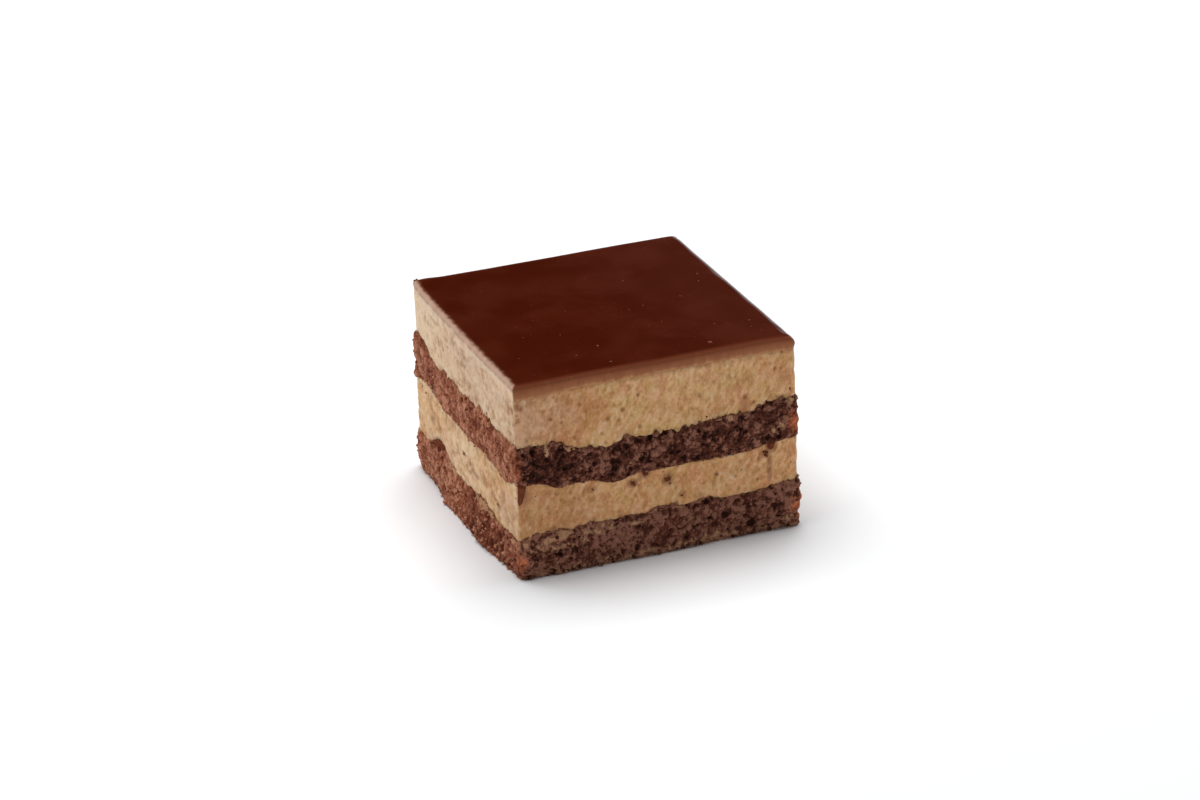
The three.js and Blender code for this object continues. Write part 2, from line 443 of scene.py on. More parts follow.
MOUSSE_TAN = srgb(215, 162, 104)
MOUSSE_PALE = srgb(226, 177, 121)
MOUSSE_ROSE = srgb(221, 158, 112)
MOUSSE_STRAW = srgb(210, 168, 102)
MOUSSE_RIPE = srgb(212, 126, 70)
MOUSSE_SHADE = srgb(160, 98, 52)
MOUSSE_SMEAR = srgb(144, 84, 46)
# Painted shade inside the pits
MOUSSE_PIT_SHADE = srgb(132, 82, 40)
# Pale cream for the mousse's paler tone and for the painted sheen, and the greyer painted haze
MOUSSE_CREAM_AND_SHEEN = srgb(246, 218, 184)
MOUSSE_HAZE = srgb(206, 172, 147)
MOUSSE_VEIL = srgb(240, 207, 175)
CRUMB_STAIN = srgb(96, 46, 22)
MOUSSE_FILM = srgb(196, 150, 112)

# Hollows, middle and heights of the crumb, as painted light: a shaded copy for the front and a lit copy for
# the left face
SPONGE_SHADED = (srgb(46, 18, 9), srgb(95, 50, 36), srgb(152, 103, 84))
SPONGE_LIT = (srgb(98, 42, 24), srgb(156, 90, 64), srgb(202, 142, 112))
# Painted rim light: the orange of the crumb's edges where light catches them at the corners
SPONGE_RIM_LIGHT_LOW = srgb(112, 48, 28)
SPONGE_RIM_LIGHT = srgb(208, 118, 78)
SPONGE_BROWN = srgb(122, 62, 33)

GLAZE_BROWN = srgb(62, 15, 2)
GLAZE_BROWN_PALER = srgb(70, 21, 6)
# The painted reflection's paler brown
GLAZE_REFLECTION = srgb(92, 48, 36)
GLAZE_ROLL = srgb(106, 54, 34)
GLAZE_CUT = srgb(146, 87, 58)
GLAZE_CUT_PALER = srgb(164, 108, 74)
GLAZE_HEM = srgb(190, 137, 93)
# The veil darker on the roll than on the cut face: painted shade on the upturned roll
ROLL_VEIL_SHADED = srgb(184, 150, 130)
# The glaze's specks: bubbles, their colour paler as a painted highlight
BUBBLE_HIGHLIGHT_BROWN = srgb(122, 66, 52)

FLOOR_WHITE = (0.9, 0.9, 0.9)


def mousse_material():
    paint = Paint("mousse")
    cloud = paint.noise(6.0, detail=3)
    body = paint.mix(paint.spread(cloud, 0.35, 0.65), MOUSSE_TAN, MOUSSE_PALE)
    blush = paint.noise(2.8, detail=3)
    body = paint.mix(paint.spread(blush, 0.48, 0.72, 0.0, 0.8), body, MOUSSE_ROSE)
    body = paint.mix(paint.spread(blush, 0.5, 0.26, 0.0, 0.8), body, MOUSSE_STRAW)
    # Ripe patches, then the painted sheen and painted haze over the left face and, a little, the hidden sides
    for name, colour in (("ripe", MOUSSE_RIPE), ("painted_sheen", MOUSSE_CREAM_AND_SHEEN), ("painted_haze", MOUSSE_HAZE)):
        body = paint.mix(paint.attribute(name), body, colour)
    fine_grain = paint.noise(0.5, detail=3, roughness=0.6, place=paint.stretched(1, 1, 0.75))
    fleck = paint.ramp(fine_grain, 0.3, 0.7, -0.18, 0.18)
    tone = paint.math("ADD", paint.attribute("tone"), fleck)
    body = paint.mix(paint.ramp(tone, 0.5, 0.0, 0.0, 0.75), body, MOUSSE_SHADE)
    body = paint.mix(paint.ramp(tone, 0.5, 1.0, 0.0, 0.6), body, MOUSSE_CREAM_AND_SHEEN)
    # painted shade in the pits
    body = paint.mix(paint.attribute("pit"), body, MOUSSE_PIT_SHADE)
    body = paint.mix(paint.attribute("tint"), body, MOUSSE_VEIL)
    uneven = paint.spread(paint.noise(1.6, detail=3), 0.3, 0.7, 0.6, 1.3)
    smeared = paint.math("MULTIPLY", paint.attribute("smear"), uneven)
    body = paint.mix(paint.ramp(smeared, 0.0, 1.0), body, MOUSSE_SMEAR)
    body = paint.mix(paint.spread(paint.ragged("stain", 0.7, 4, 0.3), 0.3, 0.8), body, CRUMB_STAIN)
    fine = paint.math("ADD", paint.noise(0.16, detail=3), paint.noise(0.5))
    return paint.finish(
        body, paint.spread(tone, 0.2, 0.8, 0.6, 0.45), paint.bump(fine, 0.12, 0.6),
        Subsurface_Weight=0.3, Subsurface_Radius=(3.0, 1.8, 0.9), Subsurface_Scale=MM,
        IOR=1.45, Specular_IOR_Level=0.3,
    )


def sponge_material():
    paint = Paint("sponge")
    grain = paint.noise(0.4, detail=4, roughness=0.65)
    level = paint.math("ADD", paint.attribute("level"), paint.swing(grain, 0.27))
    # Painted light: the crumb's colours as shaded on the front and as lit on the left face, mixed by face
    shaded, painted_light = paint.tones(level, *SPONGE_SHADED), paint.tones(level, *SPONGE_LIT)
    body = paint.mix(paint.attribute("painted_light"), shaded, painted_light)
    # Painted rim light along the crumb's corner edges
    rim = paint.mix(paint.ramp(level, 0.1, 0.9), SPONGE_RIM_LIGHT_LOW, SPONGE_RIM_LIGHT)
    body = paint.mix(paint.spread(paint.ragged("rim", 0.9, 3, 0.3), 0.25, 1.0, 0.0, 0.85), body, rim)
    film = paint.spread(paint.ragged("film", 0.9, 4, 0.4), 0.3, 0.9, 0.0, 0.85)
    body = paint.mix(film, body, MOUSSE_FILM)
    body = paint.mix(paint.attribute("brown"), body, SPONGE_BROWN)
    fine = paint.math("ADD", paint.noise(0.12, detail=3), paint.noise(0.35, detail=3))
    dull = paint.spread(grain, 0.3, 0.7, 0.7, 0.95)
    return paint.finish(body, dull, paint.bump(fine, 0.15, 0.7), IOR=1.4, Specular_IOR_Level=0.2)


def glaze_material(name, roughness, bump, **fixed):
    """Dark and even on top but for a painted reflection that pales it towards the right, milky brown at the
    cut edge, and veiled by a film of mousse on one side.
    """
    paint = Paint(name)
    cloud = paint.noise(9.0, detail=3)
    body = paint.mix(paint.spread(cloud, 0.35, 0.65), GLAZE_BROWN, GLAZE_BROWN_PALER)
    # Painted reflection: the top paler towards the right
    body = paint.mix(paint.attribute("painted_reflection"), body, GLAZE_REFLECTION)
    streak = paint.noise(1.5, detail=4, roughness=0.6, place=paint.stretched(1, 1, 0.4))
    uneven = paint.swing(streak, 0.35)
    depth = paint.math("ADD", paint.attribute("depth"), uneven)
    cut = paint.mix(paint.ramp(paint.attribute("depth"), 0.0, 1.2), GLAZE_ROLL, GLAZE_CUT)
    cut = paint.mix(paint.spread(depth, 0.9, 2.6), cut, GLAZE_CUT_PALER)
    hem = paint.math("ADD", paint.attribute("hem"), uneven)
    cut = paint.mix(paint.spread(hem, 0.2, 1.3), cut, GLAZE_HEM)
    body = paint.mix(paint.attribute("cut"), body, cut)
    # painted shade: the veil darker on the roll
    veil = paint.mix(paint.spread(depth, 0.6, 1.4), ROLL_VEIL_SHADED, MOUSSE_VEIL)
    thin = paint.math("ADD", paint.attribute("veil"), paint.swing(streak, 0.12))
    body = paint.mix(paint.spread(thin, 0.1, 0.9), body, veil)
    size, height, strength = bump
    wave = paint.bump(paint.noise(size), height, strength)
    return paint.finish(body, paint.spread(cloud, 0.3, 0.7, *roughness), wave, **fixed)


# Marks on the cut faces

# How softly one side's look goes over into the next at a corner, in millimetres
SIDE_BLEND = 0.8
GLAZE_BLEND = 0.6

PIT_DEPTHS = (0.5, 1.0)


def spots(heights, marks, falloff=0.5):
    """Ovals from a list of (place, height, width, tall, strength), softer as the falloff grows.

    Where they overlap the strongest counts.
    """
    field = np.zeros_like(heights)
    for place, height, width, tall, strength in marks:
        across = gap_around(AROUND_AT, place) / (width / 2)
        upright = (heights - height) / (tall / 2)
        oval = np.clip(1 - across**2 - upright**2, 0, 1)
        field = np.maximum(field, strength * oval**falloff)
    return field


def pit_field(heights, rng, per_square_mm, radius, stretch):
    """Scattered pits, deepest 1, as the bubbles of the mousse leave them when it is cut."""
    foot, top = heights[0], heights[-1]
    rows = len(heights)
    field = np.zeros_like(heights)
    for _ in range(int(per_square_mm * AROUND * (top - foot).mean())):
        place, share = rng.uniform(0, AROUND), rng.uniform(0, 1)
        across = rng.uniform(*radius)
        tall = across * rng.uniform(*stretch)
        column = int(place / STEP) % COLUMNS
        layer_height = top[column] - foot[column]
        height = foot[column] + layer_height * share
        reach = int(across / STEP) + 2
        columns = np.arange(column - reach, column + reach + 1) % COLUMNS
        row_reach = int(tall / layer_height * rows) + 2
        row = int(share * (rows - 1))
        block = np.ix_(range(max(row - row_reach, 0), min(row + row_reach + 1, rows)), columns)
        gap = gap_around(AROUND_AT[columns], place) / across
        depth = np.clip(1 - gap**2 - ((heights[block] - height) / tall) ** 2, 0, 1)
        field[block] = np.maximum(field[block], depth * rng.uniform(*PIT_DEPTHS))
    return field


# Sponge layers

LUMPS = ((1.5, 0.55, 0.22), (0.8, 0.26, 0.2))  # size, height and spread of tone
PORES = ((2.3, 0.5), (1.15, 0.32), (0.62, 0.18))  # spacing and depth
PORE_RADIUS = 0.42  # in spacings
PORE_FLOOR = 0.3  # the flat part of a pore, as a share of its radius
PORE_GAPS = 0.35  # the share of places without a pore
TONE_DEPTH = 0.8  # the change in height that takes the crumb from its darkest to its lightest: the hollows painted darker, as painted shade, and the heights lighter
LEFT_SMOOTHNESS = 0.4  # how much weaker the crumb's relief is on the left face
LINE_WANDER = 0.2  # how far the rows of the grid wander up and down
FILM_REACH, FILM = 0.9, 0.3  # how far and how strongly mousse is drawn over the sponge's edges
FILM_START = 0.5  # how much of that reach is used up already beside the mousse below
SHADE_DIMMING = 0.4  # how much of its painted light the crumb loses in a patch of painted shade

# How much painted light the crumb has, by column: all of it on the lit left face, some on the back and the
# right face
PAINTED_LIGHT_SHARE = side_share(LEFT, SIDE_BLEND) + 0.25 * side_share(BACK, 2.0) + 0.35 * side_share(RIGHT, 1.0)


def crumb_relief(points, strength):
    """How far the crumb stands out, in millimetres, and how much lighter or darker it is there, with painted
    shade in the hollows.
    """
    bent = points + 0.4 * drift(points, 1.0, (1, 2, 3)) + 0.2 * drift(points, 0.4, (61, 62, 63))
    relief = 0.14 * layered_noise(points, 1.2, 6)
    tone = 0.12 * noise(points, 3.0, 8)
    for seed, (size, height, contrast) in enumerate(LUMPS, 4):
        distance, value = scattered_cells(bent, size, seed)
        relief = relief + height * (0.5 - distance + 0.3 * (value - 0.5))
        tone = tone + contrast * (value - 0.5)
    for seed, (spacing, depth) in enumerate(PORES, 9):
        distance, value = scattered_cells(bent, spacing, seed)
        hollow = smooth_step(PORE_RADIUS, PORE_FLOOR * PORE_RADIUS, distance)
        relief = relief - depth * hollow * (value > PORE_GAPS)
    return relief * strength, tone + relief / TONE_DEPTH * (0.4 + 0.6 * strength)


def sponge_layer(name, layer, foot, top, material, marks):
    shares = layer.lay_out(foot, top, CRUMB_ROW_HEIGHT)
    relief, tone = crumb_relief(layer.grid, 1 - LEFT_SMOOTHNESS * side_share(LEFT, 1.0))
    layer.push_out(relief)
    inner = np.sin(math.pi * shares)[:, None].clip(0, 1) ** 0.5
    layer.grid[..., 2] += LINE_WANDER * noise(layer.grid, 0.8, 9) * inner
    heights = layer.heights
    from_mousse = top - heights
    if marks["mousse_below"]:
        from_mousse = np.minimum(from_mousse, heights - foot + FILM_START)
    values = {
        # darker in the marked patches, some of them painted shade
        "level": np.clip(marks["mean_tone"] + tone - spots(heights, marks["darks_and_shades"]), 0, 1),
        # painted light by face, weaker in the patches of painted shade
        "painted_light": PAINTED_LIGHT_SHARE * (1 - SHADE_DIMMING * spots(heights, marks["shaded_patches"])),
        # painted rim light at the corners
        "rim": spots(heights, marks["rim_lights"], 1.6),
        "film": np.maximum(FILM * near(from_mousse, FILM_REACH), spots(heights, marks["films"])),
        # brown in the marked patches, some of them painted shadow under the mousse
        "brown": spots(heights, marks["browns_and_shades"]),
    }
    layer_piece(name, layer, values, material)


# Mousse layers

PITS = {"per_square_mm": 0.03, "radius": (0.3, 0.5), "stretch": (0.9, 1.5)}
PINHOLES = {"per_square_mm": 0.4, "radius": (0.2, 0.4), "stretch": (1.0, 1.8)}
PIT_DEPTH, PINHOLE_DEPTH = 0.22, 0.1
GRAIN_SIZE = (0.75, 0.75, 1.25)
LUMP_SIZE = (1.7, 1.7, 1.0)
SWELL_SIZE = 2.6
DIMPLE_SPACING = 1.5
DIMPLE_RADIUS = 0.6  # in spacings
DIMPLE_GAPS = 0.7  # the share of places without a dimple
KNIFE_LEAN = 0.2  # how far the marks lean over for each millimetre of height
MOUSSE_LAP = 0.25

# How strong each pattern is as relief, in millimetres, and as tone, on the left face and on the others; the
# tone follows the relief, so raised lumps and grain are lighter and dimples darker, partly as painted
# highlight and painted shade
LEFT_RELIEF = {"lumps": 0.15, "grain": 0.05, "dimples": -0.06}
LEFT_TONE = {"lumps": 0.26, "swell": 0.2, "grain": 0.14, "dimples": -0.14}
OTHER_RELIEF = {"grain": 0.08, "lumps": 0.04}
OTHER_TONE = {"grain": 0.24, "lumps": 0.06}
SWELL_RELIEF = 0.07

# Reach and strength of the colours along the mousse's edges
STAIN_REACH, STAIN = 0.6, 0.42  # crumb beside the sponge
SEEP_REACH, SEEP = 1.1, 0.34  # glaze that the knife drew down
TINT_REACH, TINT = 2.4, 0.8  # the pale film at the top of the left face

# The painted sheen and painted haze that the two hidden sides have at least
HIDDEN_SIDES_SHEEN = 0.3 * (side_share(RIGHT, SIDE_BLEND) + side_share(BACK, SIDE_BLEND))


def weighted(patterns, weights):
    return sum(weight * patterns[key] for key, weight in weights.items())


def mousse_relief(points, left):
    """How far the mousse stands out, in millimetres, and how light it is: grained, but lumpy on the left, with
    the tone following the relief partly as painted highlight and shade.
    """
    lean = points[..., 2:] * (KNIFE_LEAN, 0, 0)
    bent = points - lean + 0.35 * drift(points, 2.2, (64, 65, 66))
    distance, value = scattered_cells(bent, DIMPLE_SPACING, 18)
    patterns = {
        "grain": layered_noise(bent, GRAIN_SIZE, 19),
        "lumps": layered_noise(bent, LUMP_SIZE, 12),
        "dimples": near(distance, DIMPLE_RADIUS) * (value > DIMPLE_GAPS),
        "swell": layered_noise(points, SWELL_SIZE, 67, octaves=2),
    }
    relief = (1 - left) * weighted(patterns, OTHER_RELIEF) + left * weighted(patterns, LEFT_RELIEF)
    tone = 0.5 + (1 - left) * weighted(patterns, OTHER_TONE) + left * weighted(patterns, LEFT_TONE)
    return relief + SWELL_RELIEF * patterns["swell"], np.clip(tone, 0, 1)


def mousse_layer(name, layer, foot, top, material, rng, marks):
    layer.lay_out(foot, top, MOUSSE_ROW_HEIGHT)
    heights = layer.heights
    left = side_share(LEFT, SIDE_BLEND)
    pits = np.maximum(pit_field(heights, rng, **PITS), spots(heights, marks["pores"], 0.8))
    pits *= 1 - 0.45 * left
    pinholes = pit_field(heights, rng, **PINHOLES) * (1 - 0.7 * left)
    relief, tone = mousse_relief(layer.grid, left)
    layer.push_out(relief - PIT_DEPTH * pits - PINHOLE_DEPTH * pinholes)
    below_top = top - heights
    from_sponge = heights - foot
    if not marks["glazed"]:
        from_sponge = np.minimum(from_sponge, below_top)
    seep = marks["glazed"] * (1 - left) * near(below_top, SEEP_REACH) * SEEP
    values = {
        # painted shade: darker in the pits and pinholes
        "pit": np.clip(pits * 0.7 + pinholes * 0.2, 0, 1),
        "tone": tone,
        "stain": STAIN * near(from_sponge, STAIN_REACH),
        "ripe": side_share(FRONT, SIDE_BLEND) * np.maximum(marks["ripeness"], spots(heights, marks["ripe"])),
        "smear": np.maximum(seep, spots(heights, marks["smears"])),
        "tint": marks["glazed"] * left * near(below_top, TINT_REACH) * TINT,
        # painted sheen and painted haze, on the left face and at least a little on the hidden sides
        "painted_sheen": np.maximum(spots(heights, marks["painted_sheens"]), HIDDEN_SIDES_SHEEN),
        "painted_haze": np.maximum(spots(heights, marks["painted_hazes"], 1.0), HIDDEN_SIDES_SHEEN),
    }
    layer_piece(name, layer, values, material, MOUSSE_LAP)


# Glaze

# How far in and how far down the rolled edge reaches on each side
ROLL_INSETS = {FRONT: 0.7, RIGHT: 2.0, BACK: 0.4, LEFT: 0.9}
ROLL_DROPS = {FRONT: 0.7, RIGHT: 2.3, BACK: 0.4, LEFT: 0.9}
ROLL_BLEND = 1.5

# Where the top rises or droops, as (x, y, rise, reach)
FLAT_LIFTS = ((-30, 30, 0.3, 5), (31, -31, -0.25, 6), (31, -15, -0.2, 9), (31, 0, -0.2, 9), (31, 15, -0.2, 9))
WAVE, WAVE_SIZE = 0.035, 8
RIPPLE, RIPPLE_SIZE = 0.06, (0.9, 0.9, 1.4)
WALL_ROWS = 14
ROLL_ROWS = 9
GLAZE_INSETS = (0.2, 0.4, 0.7, 1.1, 1.6, 2.2, *range(3, 29))  # the top's rings, in from the roll
UNDER_INSET = 2.0  # how far the underside's first ring lies inside the wall
MIDDLE_THICKNESS = 1.3
HEM_REACH = 1.0  # how far up the cut edge its lowest colour goes
REFLECTION_SHARE, REFLECTION_SPAN = 0.17, (-10, 30)  # the top's painted reflection, paler towards the right, which grows between those places in x
TOP_CUT, TOP_VEIL = 0.35, 0.3  # what is left of the cut's colour and of the veil where the roll ends
TOP_FADE = 0.9  # how far in from there they last


def flat_height(places):
    """The top of the glaze: lifted at the back left corner, drooping at the right ones."""
    height = np.full(len(places), HEIGHT)
    for x, y, rise, reach in FLAT_LIFTS:
        distance = np.hypot(places[:, 0] - x, places[:, 1] - y) / reach
        height += rise * np.exp(-(distance**4))
    points = np.column_stack([places, np.zeros(len(places))])
    return height + WAVE * noise(points, WAVE_SIZE, 21)


def rolled_in(places, share):
    """The columns' places moved in from the edge by that share of each side's roll."""
    roll_x = np.where(places[:, 0] < 0, ROLL_INSETS[LEFT], ROLL_INSETS[RIGHT])
    roll_y = np.where(places[:, 1] < 0, ROLL_INSETS[FRONT], ROLL_INSETS[BACK])
    return places * (1 - share * np.column_stack([roll_x, roll_y]) / HALF)


def glaze_piece(layer, foot, mousse_edge, material, cut_material):
    """The glaze: its cut edge, matt and milky and flush with the mousse, then the roll and the glossy top."""
    cut_side = 1 - side_share(RIGHT, GLAZE_BLEND)
    veil_side = side_share(LEFT, GLAZE_BLEND)
    roll = sum(drop * side_share(side, ROLL_BLEND) for side, drop in ROLL_DROPS.items())
    crown = flat_height(GLAZE_PLACES)
    wall = GLAZE_PLACES + GLAZE_AWAY * soften(layer.outset([0.5])[0], GLAZE_SOFTENING)[:, None]
    flush = mousse_edge - CUT_CENTRE - wall
    rim = rolled_in(wall, 1.0)
    rings = []
    values = {key: [] for key in ("cut", "depth", "veil", "hem", "painted_reflection")}

    def add_ring(places, height, cut_share, depth, veil_share):
        rings.append(np.column_stack([places + CUT_CENTRE, height]))
        values["cut"].append(cut_side * cut_share)
        values["depth"].append(np.broadcast_to(depth, COLUMNS))
        values["veil"].append(veil_side * veil_share)
        values["hem"].append(near(height - foot, HEM_REACH))
        # painted reflection, growing towards the right
        values["painted_reflection"].append(REFLECTION_SHARE * smooth_step(*REFLECTION_SPAN, places[:, 0]))

    add_ring(wall - GLAZE_AWAY * UNDER_INSET, foot, 1.0, crown - foot, 1.0)
    for share in np.linspace(0, 1, WALL_ROWS):
        height = foot + (crown - roll - foot) * share
        ripple = RIPPLE * (1 - share**2) * noise(np.column_stack([GLAZE_PLACES, height]), RIPPLE_SIZE, 25)
        places = wall + GLAZE_AWAY * ripple[:, None] * share + flush * (1 - share)
        add_ring(places, height, 1.0, crown - height, 1.0)
    for turn in np.linspace(0, 1, ROLL_ROWS)[1:]:
        angle = turn * math.pi / 2
        height = crown - roll * (1 - math.sin(angle))
        cut_share = 1 - (1 - TOP_CUT) * smooth_step(0.4, 1.0, turn)
        add_ring(rolled_in(wall, 1 - math.cos(angle)), height, cut_share, crown - height, 1 - 0.6 * turn**1.6)
    for inset in GLAZE_INSETS:
        flat = rim * (1 - inset / HALF)
        fade = near(inset, TOP_FADE)
        add_ring(flat, flat_height(flat), TOP_CUT * fade, 0.0, TOP_VEIL * fade)
    middles = ((*CUT_CENTRE, HEIGHT - MIDDLE_THICKNESS), (*CUT_CENTRE, HEIGHT))
    piece = closed_skin("glaze_coat", rings, values, middles, material)
    shade_flat(piece, (0,))
    paint_rows(piece, cut_material, np.tile(cut_side > 0.5, (WALL_ROWS + ROLL_ROWS - 1, 1)))
    declare(piece, "glaze")


# Loose crumbs and bubbles

DRIP_THICKNESS = 0.22  # in widths
DRIP_BLUNTNESS = 6
# The tongues' crumb look, with half of the left face's painted light
DRIP_LOOK = {"level": 0.3, "painted_light": 0.5, "brown": 0.6}


def lump_template(subdivisions):
    """A small round mesh: its points and faces."""
    mesh = bmesh.new()
    bmesh.ops.create_icosphere(mesh, subdivisions=subdivisions, radius=1.0)
    points = np.array([v.co for v in mesh.verts])
    faces = np.array([[v.index for v in f.verts] for f in mesh.faces])
    mesh.free()
    return points, faces


LUMP_POINTS, LUMP_FACES = lump_template(2)
TONGUE_POINTS, TONGUE_FACES = lump_template(4)


def joined(name, lumps, faces, values, material):
    """One piece from lumps that all have the same faces, with a value for each lump or one for them all."""
    size = len(lumps[0])
    all_faces = (faces + size * np.arange(len(lumps))[:, None, None]).reshape(-1, 3)
    spread = {key: np.repeat(np.broadcast_to(v, len(lumps)), size) for key, v in values.items()}
    return new_mesh(name, np.concatenate(lumps), all_faces.tolist(), spread, material)


def scatter(name, rng, places, sizes, values, material, roughness=0.2):
    """One piece made of a lump at each place, none of them below the floor."""
    lumps = []
    for place, size in zip(places, sizes):
        lump = LUMP_POINTS * (1 + roughness * rng.normal(size=(len(LUMP_POINTS), 1))).clip(0.6, 1.5)
        lump *= rng.uniform(0.7, 1.25, 3)
        turn, _ = np.linalg.qr(rng.normal(size=(3, 3)))
        lump = lump @ turn * size + place
        lump[:, 2] = lump[:, 2].clip(min=0)
        lumps.append(lump)
    return joined(name, lumps, LUMP_FACES, values, material)


def sponge_crumbs(name, layer, rng, count, sizes, edge_bias, material):
    """Crumbs at random places on a sponge layer, more of them towards its foot as the bias grows."""
    share = rng.uniform(0, 1, count) ** edge_bias
    row = (share * (len(layer.grid) - 1)).astype(int)
    column = rng.integers(0, COLUMNS, count)
    size = sizes[0] + (sizes[1] - sizes[0]) * rng.uniform(0, 1, count) ** 2.5
    place = layer.grid[row, column]
    place[:, :2] += AWAY[column] * (size * rng.uniform(-0.3, 0.55, count))[:, None]
    place[:, 2] = np.maximum(place[:, 2], size * 0.8)
    values = {
        "level": rng.uniform(0.3, 1.0, count),
        # painted light as on the crumb's own face
        "painted_light": PAINTED_LIGHT_SHARE[column],
        "film": rng.uniform(0, 0.8, count) ** (2 + 3 * share),
    }
    declare(scatter(name, rng, place, size, values, material))


def mousse_crumbs(name, layer, rng, marks, count, material):
    """Crumbs the knife left on a mousse layer: the ones that show, and smaller ones under the sponge."""
    places, sizes = [], []
    for place, height, width in marks:
        lumps = 2 + int(6 * width)
        places += list(layer.point(place, height) + rng.normal(size=(lumps, 3)) * width * (0.2, 0.2, 0.16))
        sizes += list(width * rng.uniform(0.12, 0.24, lumps))
    top = layer.heights[-1]
    for _ in range(count):
        place = rng.uniform(0, AROUND)
        below = rng.exponential(1.6)
        places.append(layer.point(place, top[int(place / STEP) % COLUMNS] - below))
        sizes.append(rng.uniform(0.12, 0.28))
    total = len(places)
    values = {
        "level": rng.uniform(0.3, 0.8, total),
        # painted light, a random share of it
        "painted_light": rng.uniform(0.4, 0.9, total),
        "film": rng.uniform(0.0, 0.6, total),
        "brown": rng.uniform(0.5, 0.95, total),
    }
    declare(scatter(name, rng, places, sizes, values, material))


def drip(layer, path):
    """A smooth tongue of crumb that the knife dragged down a side, along (place, height, width) points.

    Its upper end is tucked in behind the sponge that it comes from.
    """
    route = np.array(path)
    shares = (1 - TONGUE_POINTS[:, 2]) / 2
    at = shares * (len(route) - 1)
    place, height, width = (np.interp(at, np.arange(len(route)), row) for row in route.T)
    round_part = np.hypot(TONGUE_POINTS[:, 0], TONGUE_POINTS[:, 1]).clip(min=1e-6)
    blunt = np.sqrt(np.clip(1 - (2 * shares - 1) ** DRIP_BLUNTNESS, 0, 1)) / round_part
    across = TONGUE_POINTS[:, 0] * blunt * width / 2
    outward = TONGUE_POINTS[:, 1] * blunt * width * DRIP_THICKNESS
    points = np.array([layer.point(p + a, z) for p, a, z in zip(place, across, height)])
    columns = (np.round((place + across) / STEP).astype(int)) % COLUMNS
    tucked = np.clip(height - layer.heights[-1, columns], 0, None)
    points[:, :2] += AWAY[columns] * (outward - tucked)[:, None]
    points[:, 2] = height
    return points


def mousse_drips(name, layer, paths, material):
    lumps = [drip(layer, path) for path in paths]
    declare(joined(name, lumps, TONGUE_FACES, DRIP_LOOK, material))


def glaze_bubbles(rng, named, count):
    """Specks on the glaze, paler than it as a painted highlight, the ones that show and finer ones; places
    from the left and front edges.
    """
    specks = [(x - HALF, y - HALF, size) for x, y, size in named]
    for _ in range(count):
        specks.append((*rng.uniform(3 - HALF, HALF - 3, 2), rng.uniform(0.05, 0.11)))
    specks = np.array(specks)
    flat, sizes = specks[:, :2], specks[:, 2]
    places = np.column_stack([flat + CUT_CENTRE, flat_height(flat) - 0.35 * sizes])
    # painted highlight in the specks' colour
    material = Paint("glaze_bubbles").finish(BUBBLE_HIGHLIGHT_BROWN, 0.4, IOR=1.45, Specular_IOR_Level=0.3)
    declare(scatter("glaze_bubbles", rng, places, sizes, {}, material, 0.08))


# The scene

FLOOR_REACH = 4000.0
OVERHEAD_WHITE = (0.97, 0.985, 1.0)
ROOM_WHITE = (0.95, 0.97, 1.0, 1.0)

# The sines of the two angles between which the room darkens, and its light below and above them
ROOM_FALL = (0.12, 0.3, 1.0, 0.015)


def add_camera():
    """A long lens at the photograph's angle: turned to the left of the front and tipped down."""
    azimuth, elevation, roll = -20.85, 23.96, -1.98
    target, distance, lens = (0.00026, 0.00047, 0.02075), 0.777, 116.25
    place = Matrix.Translation(target)
    for degrees, axis in ((azimuth, "Z"), (90 - elevation, "X"), (roll, "Z")):
        place @= Matrix.Rotation(math.radians(degrees), 4, axis)
    camera = bpy.data.objects.new("camera", bpy.data.cameras.new("camera"))
    camera.data.lens = lens
    camera.data.clip_start = 0.01
    camera.matrix_world = place @ Matrix.Translation((0, 0, distance))
    bpy.context.scene.collection.objects.link(camera)
    bpy.context.scene.camera = camera


def add_softbox():
    """A soft light that faces straight down and doesn't show in the glaze's reflections."""
    light = bpy.data.lights.new("overhead_softbox", "AREA")
    light.shape = "RECTANGLE"
    light.size, light.size_y = 1.6, 1.25
    light.energy = 38
    light.color = OVERHEAD_WHITE
    box = bpy.data.objects.new("overhead_softbox", light)
    box.location = (-0.03, 0.42, 1.5)
    box.visible_glossy = False
    bpy.context.scene.collection.objects.link(box)


def add_floor():
    material = Paint("floor").finish(FLOOR_WHITE, 0.8, Specular_IOR_Level=0.2)
    corners = np.column_stack([CORNERS * FLOOR_REACH, np.zeros(4)])
    new_mesh("floor", corners, [(0, 1, 2, 3)], {}, material)


def add_world():
    """A pale room up to just over the horizon and a dark one above, so that the glaze stays deep."""
    world = bpy.data.worlds.new("studio")
    world.use_nodes = True
    nodes, links = world.node_tree.nodes, world.node_tree.links
    split = nodes.new("ShaderNodeSeparateXYZ")
    links.new(nodes.new("ShaderNodeTexCoord").outputs["Generated"], split.inputs[0])
    fall = nodes.new("ShaderNodeMapRange")
    fall.interpolation_type = "SMOOTHSTEP"
    links.new(split.outputs["Z"], fall.inputs["Value"])
    for socket, number in zip(RANGE_SOCKETS, ROOM_FALL):
        fall.inputs[socket].default_value = number
    background = nodes["Background"]
    background.inputs["Color"].default_value = ROOM_WHITE
    links.new(fall.outputs["Result"], background.inputs["Strength"])
    bpy.context.scene.world = world


add_camera()
add_world()
add_floor()
add_softbox()
bpy.context.scene.view_settings.view_transform = "Standard"


# Where the layers meet: the line between each two, and how ragged it is


def shared_line(lower, upper, ragged, seed):
    line = (lower.top + upper.foot) / 2
    points = np.column_stack([PLACES, np.zeros(COLUMNS)])
    return line + ragged * layered_noise(points, 1.7, seed)


